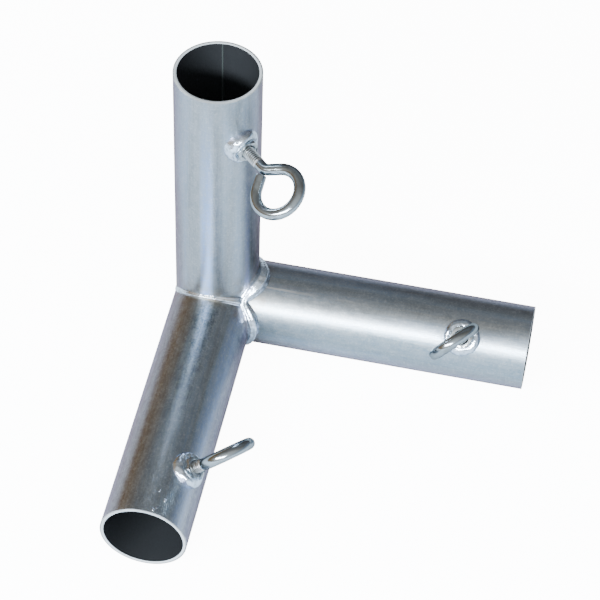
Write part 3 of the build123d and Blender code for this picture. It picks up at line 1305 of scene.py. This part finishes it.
@dataclass
class WeldNut:
    """A hex nut with its weld: the nut's bevelled form, and the lumpy collar that holds it."""

    name: str
    seat: Seat
    lobes: Sequence[Lobe]
    seed: float
    flats: float = 11.1
    hole_r: float = 3.225
    sink_r: float = 4.2
    sink_depth: float = 1.0
    turn: float = 12.0
    corner_cut: float = 0.22
    bevel: float = 0.45
    bevel_slope: float = math.radians(30)
    shoulder_drop: float = 1.4
    nut_lump: float = 0.04
    nut_lump_size: float = 2.0
    collar_root: float = 1.1
    collar_rings: int = 22
    collar_height: float = 3.1
    collar_reach: float = 10.0
    toe_sink: float = 0.45
    toe_curve: float = 2.3
    toe_stray: float = 0.5
    toe_stray_r: float = 3.0
    toe_stray_size: float = 1.4
    crest: float = 0.5
    crest_dip: float = 0.35
    inner_r: float = 4.7
    calm_width: float = 1.2
    lump: float = 0.30
    lump_size: float = 2.4
    small_lump: float = 0.15
    small_lump_size: float = 1.15
    small_lump_seed: float = 3.0
    segments: int = 96

    @property
    def corner_r(self) -> float:
        """How far a sharp corner of the hexagon lies from its middle."""
        return self.flats / 2 / math.cos(math.pi / 6)

    def hex_radius(self, angle: float) -> float:
        """The nut's outline, its corners a little worn.

        Args:
            angle: the direction from the nut's middle.

        Returns:
            The outline's distance there.
        """
        side = (angle - math.radians(self.turn) + math.pi / 6) % (math.pi / 3) - math.pi / 6
        off = math.pi / 6 - abs(side)
        return min(self.flats / 2 / math.cos(off), self.corner_r - self.corner_cut)

    def ring(self, radius: Callable[[float], float], z: float) -> Move:
        """A rule that puts a ring's corners at a height.

        Args:
            radius: gives their distance from the nut's middle, from their direction.
            z: the height.

        Returns:
            The rule.
        """

        def move(co: Vector) -> Vector:
            """Places one corner."""
            angle = math.atan2(co.y, co.x)
            return Vector((radius(angle) * math.cos(angle), radius(angle) * math.sin(angle), z))

        return move

    def build_nut(self, finish: bpy.types.Material) -> None:
        """Builds the hex nut, bevelled on top and sunk at its hole.

        Args:
            finish: the nut's finish.
        """
        top = TUBE_R + NUT_HEIGHT
        cone_r = self.corner_r - self.bevel * math.sqrt(3)
        shape = Shape()
        shape.circle(self.hole_r, self.segments, Matrix.Translation((0, 0, TUBE_R)), capped=False)
        first = list(shape.edge)
        shape.grow(self.ring(self.hex_radius, TUBE_R))
        shape.grow(self.ring(self.hex_radius, top - self.shoulder_drop))

        def chamfer(co: Vector) -> Vector:
            """Puts a corner on the bevel's cone.

            Args:
                co: its place.

            Returns:
                Its new place.
            """
            placed = self.ring(self.hex_radius, top)(co)
            radius = math.hypot(placed.x, placed.y)
            placed.z = top - max(0.0, radius - cone_r) * math.tan(self.bevel_slope)
            return placed

        shape.grow(chamfer)
        shape.grow(self.ring(lambda angle: cone_r, top))
        shape.grow(self.ring(lambda angle: self.sink_r, top))
        shape.grow(self.ring(lambda angle: self.hole_r, top - self.sink_depth))
        bmesh.ops.bridge_loops(shape.mesh, edges=first + shape.edge)
        shape.ripple(lambda co: self.nut_lump * lumps(co, self.nut_lump_size, self.seed))
        made = shape.finish(self.name + "_nut_form", self.seat.frame())
        dress(made, finish, "connector", Slot.HARDWARE, [self.name + "_nut"])

    def build_collar(self, finish: bpy.types.Material) -> None:
        """Builds the weld round the nut: a skirt on the tube, heaped where the torch stayed.

        Args:
            finish: the weld's finish.
        """
        shape = Shape()
        root = Matrix.Translation((0, 0, TUBE_R - self.collar_root))
        shape.circle(self.inner_r, self.segments, root, capped=False)
        first = list(shape.edge)
        for step in range(self.collar_rings + 1):
            shape.grow(self.skirt(step / self.collar_rings))
        bmesh.ops.bridge_loops(shape.mesh, edges=first + shape.edge)
        shape.ripple(self.roughness_of)
        made = shape.finish(self.name + "_nut_weld_form", self.seat.frame(), WELD_ANGLE)
        dress(made, finish, "connector", Slot.WELD, [self.name + "_nut_weld"])

    def roughness_of(self, co: Vector) -> float:
        """How far the collar's skin stands out at a point, less beside the nut.

        Args:
            co: the point.

        Returns:
            The distance.
        """
        edge = min(1.0, max(0.0, (math.hypot(co.x, co.y) - self.inner_r) / self.calm_width))
        broad = self.lump * lumps(co, self.lump_size, self.seed)
        small = self.small_lump * lumps(co, self.small_lump_size, self.seed + self.small_lump_seed)
        return edge * (broad + small)

    def skirt(self, share: float) -> Move:
        """A rule for one ring of the collar.

        Args:
            share: how far the ring lies from the nut to the toe.

        Returns:
            The rule.
        """

        def move(co: Vector) -> Vector:
            """Places one corner on the tube's saddle, as high as the weld stands there.

            Args:
                co: its place.

            Returns:
                Its new place.
            """
            angle = math.atan2(co.y, co.x)
            stray = lumps(co.normalized() * self.toe_stray_r, self.toe_stray_size, self.seed)
            rise, reach = self.collar_height, self.collar_reach + self.toe_stray * stray
            for lobe in self.lobes:
                rise += (lobe.height - self.collar_height) * lobe.share(angle)
                reach += (lobe.reach - self.collar_reach) * lobe.share(angle)
            radius = self.inner_r + (reach - self.inner_r) * share
            x, y = radius * math.cos(angle), radius * math.sin(angle)
            saddle = math.sqrt(TUBE_R**2 - y**2)
            return Vector((x, y, saddle - self.toe_sink + (rise + self.toe_sink) * self.profile(share)))

        return move

    def profile(self, share: float) -> float:
        """The collar's rounded section: highest at its crest, lower at the nut, steep at its toe.

        Args:
            share: how far from the nut to the toe.

        Returns:
            The height as a share of the crest's.
        """
        if share < self.crest:
            return 1 - self.crest_dip * ((self.crest - share) / self.crest) ** 2
        return max(0.0, 1 - ((share - self.crest) / (1 - self.crest)) ** self.toe_curve) ** 0.5

    def build(self, plated: bpy.types.Material, weld: bpy.types.Material) -> None:
        """Builds the nut and its weld."""
        self.build_nut(plated)
        self.build_collar(weld)


@dataclass
class EyeBolt:
    """A threaded shank whose wire bends aside and comes round in a ring to its own neck."""

    name: str
    seat: Seat
    out: float
    turn: float
    thread_r: float = 3.175
    root_r: float = 2.46
    pitch: float = 1.27
    flank: tuple = ((0, 0), (0.08, 0), (0.40, 1), (0.64, 1), (0.94, 0), (1, 0))
    spare_turns: float = 2.1
    thread_merge_gap: float = 1e-3
    thread_length: float = 11.6
    shank_length: float = 17.0
    runout: float = 0.6
    tip_inset: float = 0.15
    tip_slope: float = 0.9
    wire_r: float = 3.05
    wire_overlap: float = 0.25
    wire_end_round: float = 0.6
    neck_angle: float = math.radians(43)
    neck_radius: float = 6.0
    eye_r: float = 12.25
    eye_offset: float = 2.7
    eye_sweep: float = math.radians(279)
    eye_gap: float = 0.3
    ring_sides: int = 28
    turn_steps: int = 30
    shank_cuts: int = 6
    neck_steps: int = 16
    straight_cuts: int = 8
    eye_steps: int = 110
    end_steps: int = 5

    @property
    def neck(self) -> float:
        """Where the wire's centre line bends, out from the tube's axis."""
        return TUBE_R + NUT_HEIGHT + self.out

    @property
    def tip(self) -> float:
        """Where the shank ends, out from the tube's axis."""
        return self.neck - self.shank_length

    def build(self, finish: bpy.types.Material) -> None:
        """Builds the thread and the wire as one piece.

        Args:
            finish: the bolt's finish.
        """
        shape = Shape()
        self.thread(shape)
        self.wire(shape)
        made = shape.finish(self.name + "_eye_bolt_form", self.seat.bend_frame(math.radians(self.turn)))
        dress(made, finish, self.name + "_bolt", Slot.HARDWARE, [self.name + "_eye_bolt"])

    def thread(self, shape: Shape) -> None:
        """Adds the helical thread, from a chamfered tip to a fading runout.

        The flank's points are shares of the pitch and of the thread's depth.

        Args:
            shape: the empty shape.
        """
        mesh = shape.mesh
        first = self.tip - self.spare_turns * self.pitch
        rise = self.thread_r - self.root_r
        row = [mesh.verts.new((first + u * self.pitch, self.root_r + w * rise, 0)) for u, w in self.flank]
        edges = [mesh.edges.new(pair) for pair in zip(row, row[1:])]
        turns = math.ceil((self.thread_length + self.runout) / self.pitch + 2 * self.spare_turns)
        helix = dict(angle=math.tau * turns, steps=turns * self.turn_steps)
        step = Vector((self.pitch / self.turn_steps, 0, 0))
        bmesh.ops.spin(mesh, geom=row + edges, cent=(0, 0, 0), axis=(1, 0, 0), dvec=step, **helix)
        bmesh.ops.remove_doubles(mesh, verts=mesh.verts, dist=self.thread_merge_gap)
        end = self.tip + self.thread_length + self.runout
        for place, normal in ((self.tip, -1), (end, 1)):
            parts = mesh.verts[:] + mesh.edges[:] + mesh.faces[:]
            plane = dict(plane_co=(place, 0, 0), plane_no=(normal, 0, 0))
            bmesh.ops.bisect_plane(mesh, geom=parts, clear_outer=True, **plane)
        shape.each(self.taper)
        depth = mesh.verts.layers.float.new(GROOVE)
        for corner in mesh.verts:
            low = (self.thread_r - math.hypot(corner.co.y, corner.co.z)) / rise
            corner[depth] = CREST + (1 - CREST) * min(1.0, max(0.0, low))
        rims = [edge for edge in mesh.edges if edge.is_boundary]
        bmesh.ops.holes_fill(mesh, edges=rims, sides=0)

    def taper(self, co: Vector) -> Vector:
        """Chamfers the thread's tip and fades its runout into the wire.

        Args:
            co: a corner's place.

        Returns:
            Its new place.
        """
        radius = math.hypot(co.y, co.z)
        fade = min(1.0, max(0.0, (co.x - self.tip - self.thread_length + self.pitch) / self.pitch))
        wanted = max(radius, self.root_r + (self.wire_r - self.root_r) * fade)
        past = max(0.0, co.x - self.tip - self.thread_length) / self.runout
        wanted = min(wanted, self.thread_r + (self.wire_r - self.thread_r) * past)
        wanted = min(wanted, self.root_r - self.tip_inset + self.tip_slope * (co.x - self.tip))
        scale = wanted / radius if radius else 1.0
        return Vector((co.x, co.y * scale, co.z * scale))

    def wire(self, shape: Shape) -> None:
        """Adds the plain wire: shank, neck, leg, ring and tail.

        Args:
            shape: the shape with its thread.
        """
        start = self.tip + self.thread_length + self.runout - self.wire_overlap
        bend = self.neck - self.neck_radius * math.tan(self.neck_angle / 2)
        leg_way = Vector((math.cos(self.neck_angle), math.sin(self.neck_angle), 0))
        aside = Vector((leg_way.y, -leg_way.x, 0))
        leg_side = self.eye_r * math.cos(self.neck_angle) - self.eye_offset
        leg = leg_side / math.sin(self.neck_angle) - self.neck_radius * math.tan(self.neck_angle / 2)
        tail_start = self.eye_r - (self.eye_r - self.wire_r) * math.cos(self.eye_sweep)
        tail = (tail_start - self.wire_r - self.eye_gap) / math.sin(math.tau - self.eye_sweep)
        first = columns(UP * -1, Vector((0, 1, 0)), RIGHT, Vector((start, 0, 0)))
        shape.circle(self.wire_r, self.ring_sides, first)
        shape.run(Vector((bend - start, 0, 0)), self.shank_cuts)
        shape.turn(Vector((bend, self.neck_radius, 0)), UP, self.neck_angle, self.neck_steps)
        shape.run(leg_way * leg, self.straight_cuts)
        shape.turn(shape.middle() + aside * self.eye_r, UP * -1, self.eye_sweep, self.eye_steps)
        heading = Matrix.Rotation(-self.eye_sweep, 3, "Z") @ leg_way
        shape.run(heading * (tail - self.wire_end_round), self.straight_cuts)
        middle = shape.middle()
        for step in range(1, self.end_steps + 1):
            angle = step * math.pi / (2 * self.end_steps)
            radius = self.wire_r - self.wire_end_round * (1 - math.cos(angle))
            place = middle + heading * self.wire_end_round * math.sin(angle)
            shape.grow(lambda co: self.shrink(co, place, heading, radius))
        shape.cap()

    @staticmethod
    def shrink(co: Vector, centre: Vector, heading: Vector, radius: float) -> Vector:
        """Puts a ring's corner at a radius round a new centre.

        Args:
            co: the corner's place.
            centre: the ring's new centre.
            heading: the ring's axis.
            radius: the ring's new radius.

        Returns:
            The corner's new place.
        """
        aside = co - centre
        aside -= heading * aside.dot(heading)
        return centre + aside.normalized() * radius


@dataclass
class Spatter:
    """A few drops of weld that froze on the front tube, each with its place and size."""

    drops: Sequence[tuple[Vector, float]]
    stretch: float = 1.4
    height: float = 0.4
    lump: float = 0.12
    lump_size: float = 0.8
    seed: float = 21.0

    def build(self, finish: bpy.types.Material) -> None:
        """Builds the drops as low uneven domes.

        Args:
            finish: the drops' finish.
        """
        shape = Shape()
        for place, size in self.drops:
            out = Vector((place.x, 0, place.z)).normalized()
            long_side = FORWARD * size * self.stretch
            seat = columns(out.cross(FORWARD) * size, long_side, out * size * self.height, place)
            bmesh.ops.create_icosphere(shape.mesh, subdivisions=3, radius=1.0, matrix=seat)
        shape.ripple(lambda co: self.lump * lumps(co, self.lump_size, self.seed))
        dress(shape.finish("front_spatter"), finish, "connector", Slot.WELD)


@dataclass(frozen=True)
class Panel:
    """A soft rectangular light: its place, sides, watts and colour, and whether the metal mirrors it."""

    name: str
    place: tuple[float, float, float]
    size: tuple[float, float]
    power: float
    colour: tuple[float, float, float]
    mirrored: bool

    def hang(self, aim: Vector) -> None:
        """Hangs the light.

        Args:
            aim: the point that it faces.
        """
        data = bpy.data.lights.new(self.name, "AREA")
        data.shape = "RECTANGLE"
        data.size, data.size_y = self.size
        data.energy, data.color = self.power, self.colour
        made = bpy.data.objects.new(self.name, data)
        made.location = self.place
        made.rotation_mode = "QUATERNION"
        made.rotation_quaternion = (aim - Vector(self.place)).to_track_quat("-Z", "Y")
        made.visible_glossy = self.mirrored
        made.visible_camera = False
        bpy.context.scene.collection.objects.link(made)


class Axis(Enum):
    """The room's axes: to the right, away from the camera and up."""

    ACROSS = 0
    DEPTH = 1
    HEIGHT = 2


@dataclass(frozen=True)
class Glow:
    """A tinted part of the room: two axes with where it starts and is full, its share and its colour."""

    first: tuple[Axis, float, float]
    second: tuple[Axis, float, float]
    share: float
    colour: Colour


@dataclass
class Studio:
    """The plain floor, the soft lights and the camera at the photograph's angle."""

    lens: float = 148.67
    sensor: float = 36.0
    sight_end: float = 20.0
    eye: tuple[float, float, float] = (0.2036, -0.886, 1.039)
    sight: tuple[float, float, float] = (-0.1146, 0.647, -0.7538)
    head: tuple[float, float, float] = (-0.1703, 0.7348, 0.6566)
    aim: tuple[float, float, float] = (0.05, -0.05, 0.03)
    floor_z: float = -0.0231
    floor_size: float = 3.0
    floor_colour: Colour = (0.62, 0.70, 0.775, 1)
    floor_rough: float = 0.9
    floor_shine: float = 0.1
    backdrop: float = 12.0
    room_light: float = 2.0
    front_tone: Colour = (0.62, 0.64, 0.66, 1)
    back_tone: Colour = (0.07, 0.07, 0.075, 1)
    tones: tuple[tuple[float, Colour], ...] = (
        (0.35, (0.40, 0.385, 0.36, 1)),
        (0.5, (0.22, 0.207, 0.19, 1)),
        (0.75, (0.09, 0.086, 0.082, 1)),
    )
    glows: tuple[Glow, ...] = (
        Glow((Axis.HEIGHT, 0.45, 0.8), (Axis.DEPTH, 0.35, 0.7), 1.0, (0.17, 0.185, 0.20, 1)),
        Glow((Axis.ACROSS, -0.25, -0.7), (Axis.HEIGHT, 0.7, 0.1), 1.0, (0.20, 0.125, 0.055, 1)),
        Glow((Axis.ACROSS, 0.45, 0.85), (Axis.HEIGHT, 0.5, 0.05), 0.8, (0.24, 0.32, 0.42, 1)),
    )
    panels: tuple[Panel, ...] = (
        Panel("overhead", (0.2, -0.3, 1.9), (2.4, 2.4), 18.0, (1.0, 1.0, 1.0), mirrored=False),
        Panel("window", (-0.55, -1.75, 1.15), (1.9, 0.28), 172.0, (0.92, 0.965, 1.0), mirrored=True),
    )

    def camera(self) -> None:
        """The photograph's camera."""
        data = bpy.data.cameras.new("view")
        data.lens, data.sensor_width, data.clip_end = self.lens, self.sensor, self.sight_end
        made = bpy.data.objects.new("view", data)
        sight, head = Vector(self.sight), Vector(self.head)
        made.matrix_world = columns(sight.cross(head), head, sight * -1, Vector(self.eye))
        bpy.context.scene.collection.objects.link(made)
        bpy.context.scene.camera = made

    def floor(self) -> None:
        """A pale matt floor."""
        mesh = bmesh.new()
        place = Matrix.Translation((0, 0, self.floor_z))
        bmesh.ops.create_grid(mesh, x_segments=4, y_segments=4, size=self.floor_size, matrix=place)
        data = bpy.data.meshes.new("floor")
        mesh.to_mesh(data)
        mesh.free()
        made = bpy.data.objects.new("floor", data)
        bpy.context.scene.collection.objects.link(made)
        material, bench, shader = bench_for("pale_floor")
        shader.inputs["Base Color"].default_value = self.floor_colour
        shader.inputs["Roughness"].default_value = self.floor_rough
        shader.inputs["Specular IOR Level"].default_value = self.floor_shine
        shader.inputs["Emission Color"].default_value = WHITE
        seen = bench.add("LightPath").outputs["Is Camera Ray"]
        bench.feed(shader.inputs["Emission Strength"], bench.times(seen, self.backdrop))
        data.materials.append(material)

    def room(self) -> None:
        """A dim soft room round the object, paler in front, and white where the camera looks."""
        world = bpy.data.worlds.new("room")
        world.use_nodes = True
        bpy.context.scene.world = world
        bench = NodeBench(world.node_tree)
        parts = bench.split(bench.add("TexCoord").outputs["Generated"])
        ramp = bench.add("ValToRGB", None, Fac=bench.span(parts[Axis.DEPTH.value], -1.0, 1.0))
        ramp.color_ramp.interpolation = "B_SPLINE"
        for place, colour in self.tones:
            ramp.color_ramp.elements.new(place).color = colour
        ramp.color_ramp.elements[0].color = self.front_tone
        ramp.color_ramp.elements[-1].color = self.back_tone
        tone = ramp.outputs["Color"]
        for glow in self.glows:
            sides = glow.first, glow.second
            masks = [bench.span(parts[axis.value], start, full) for axis, start, full in sides]
            tone = bench.mix(bench.times(bench.times(*masks), glow.share), tone, glow.colour)
        seen = bench.add("LightPath").outputs["Is Camera Ray"]
        background = world.node_tree.nodes["Background"]
        bench.feed(background.inputs["Color"], bench.mix(seen, tone, WHITE))
        strength = bench.span(seen, 0.0, 1.0, self.room_light, self.backdrop)
        bench.feed(background.inputs["Strength"], strength)

    def build(self) -> None:
        """Sets the stage."""
        self.camera()
        self.floor()
        self.room()
        for panel in self.panels:
            panel.hang(Vector(self.aim))


@dataclass(frozen=True)
class Clamp:
    """A tube's clamp screw: its seat, its nut's weld heaps, the bolt's reach and turn, and a seed."""

    name: str
    seat: Seat
    lobes: tuple[Lobe, ...]
    out: float
    turn: float
    seed: float

    def build(self, nut: bpy.types.Material, weld: bpy.types.Material, wire: bpy.types.Material) -> None:
        """Builds the nut with its weld, and the bolt."""
        WeldNut(self.name, self.seat, self.lobes, self.seed).build(nut, weld)
        EyeBolt(self.name, self.seat, self.out, self.turn).build(wire)


def upright_tube() -> SleeveTube:
    """The upright tube, with a pale painted reflection band in front and a lilac one to the right.

    Returns:
        The tube.
    """
    # Painted reflections: a pale blue band in front and a lilac one to the right
    pale = Band(Vector((-0.04, -1.0, 0)), (0.36, 0.56, 0.98, 1), share=0.9, width=10.0, reach=0.17)
    lilac = Band(Vector((0.835, -0.55, 0)), (0.40, 0.47, 0.72, 1), share=0.7, width=6.0, reach=0.14)
    seam_side = Vector((-0.11, 0.99, 0)).normalized()
    return SleeveTube("upright_tube", UP, 170.0, seam_side, (pale, lilac))


def side_tube() -> SleeveTube:
    """The side tube, with a dark bluish painted reflection band in front and a scratch on top.

    Returns:
        The tube.
    """
    # Painted reflection: a dark bluish band on the lower front side
    dark = Band(Vector((0, -0.94, 0.342)), (0.215, 0.335, 0.44, 1), share=0.55, width=30.0)
    scratch = Band(Vector((0, -0.342, 0.940)), SPECK, share=0.75, width=1.1, reach=0.115)
    return SleeveTube("side_tube", RIGHT, 175.0, Vector((0, 0.6, 0.8)).normalized(), (dark,), scratch)


def front_tube() -> SleeveTube:
    """The front tube, with painted reflection and shade: blue to the right, brown to the left, darker at both
    edges and near the corner.

    Returns:
        The tube.
    """
    # Painted reflection and shade: blue, brown, dark edges, and a dark top near the corner
    painted_reflection_bands = (
        Band(Vector((0.766, 0, 0.643)), (0.40, 0.49, 0.72, 1), share=0.6, width=14.0),
        Band(Vector((-0.404, 0, 0.915)), (0.27, 0.237, 0.182, 1), share=0.55, width=17.0),
        Band(Vector((-0.743, 0, 0.669)), (0.20, 0.170, 0.160, 1), share=0.65, width=19.0),
        Band(Vector((0.951, 0, 0.309)), (0.19, 0.190, 0.235, 1), share=0.6, width=17.0),
        Band(Vector((0.07, 0, 0.998)), (0.07, 0.085, 0.095, 1), share=0.85, width=19.0, reach=0.13),
    )
    return SleeveTube("front_tube", FORWARD, 170.0, Vector((-0.5, 0, 0.86)).normalized(), painted_reflection_bands)


def spatter() -> Spatter:
    """The drops on the front tube.

    Returns:
        The drops.
    """
    return Spatter([
        (Vector((9.5, -159.7, 20.9)), 0.85),
        (Vector((5.3, -167.6, 22.3)), 0.75),
        (Vector((6.6, -166.0, 22.0)), 0.6),
        (Vector((5.7, -155.1, 22.2)), 0.45),
    ])


def clamps() -> tuple[Clamp, ...]:
    """The clamp screws of the three tubes.

    Returns:
        The upright's, the side tube's and the front tube's.
    """
    upright = Seat(UP * 136.8, UP, quarter(RIGHT, FORWARD, 44))
    side = Seat(RIGHT * 139.0, RIGHT, quarter(FORWARD, UP, 48))
    front = Seat(FORWARD * 135.0, FORWARD, quarter(RIGHT, UP, 45))
    upright_heaps = (Lobe(62, 46, 5.4, 10.4), Lobe(5, 32, 4.6, 10.0), Lobe(130, 32, 4.0, 9.9))
    side_heaps = (Lobe(120, 60, 3.0, 10.1), Lobe(-50, 50, 3.1, 10.2))
    front_heaps = (Lobe(-5, 30, 4.3, 10.5), Lobe(-75, 40, 3.5, 10.2), Lobe(40, 26, 3.4, 10.0))
    return (
        Clamp("upright", upright, upright_heaps, out=14.9, turn=-58.0, seed=11.0),
        Clamp("side", side, side_heaps, out=11.6, turn=43.5, seed=18.0),
        Clamp("front", front, front_heaps, out=9.7, turn=144.0, seed=25.0),
    )


def build_corner() -> None:
    """Builds and dresses every piece of the corner."""
    for tube in (upright_tube(), side_tube(), front_tube()):
        tube.build()
    weld = WeldSilver().material()
    neat = WeldSilver("mitre_weld_silver", (0.78, 0.86, 0.95, 1), tint_patches=Patches(90.0, 0.66)).material()
    nut = PlatedSteel("nut_zinc", (0.50, 0.54, 0.56, 1), (0.36, 0.40, 0.42, 1), (0.16, 0.28), 0.15).material()
    wire_tones = (0.365, 0.42, 0.46, 1), (0.29, 0.325, 0.345, 1)
    wire_edge = (0.42, 0.43, 0.43, 1)
    wire = PlatedSteel("bright_wire", *wire_tones, (0.13, 0.20), edge_tint=wire_edge).material()
    JointWelds().build(weld, neat)
    spatter().build(weld)
    for clamp in clamps():
        clamp.build(nut, weld, wire)


def main() -> None:
    """Builds the studio and the corner in order."""
    logging.basicConfig(level=logging.INFO, format="%(message)s")
    Studio().build()
    build_corner()


if __name__ == "__main__":
    main()
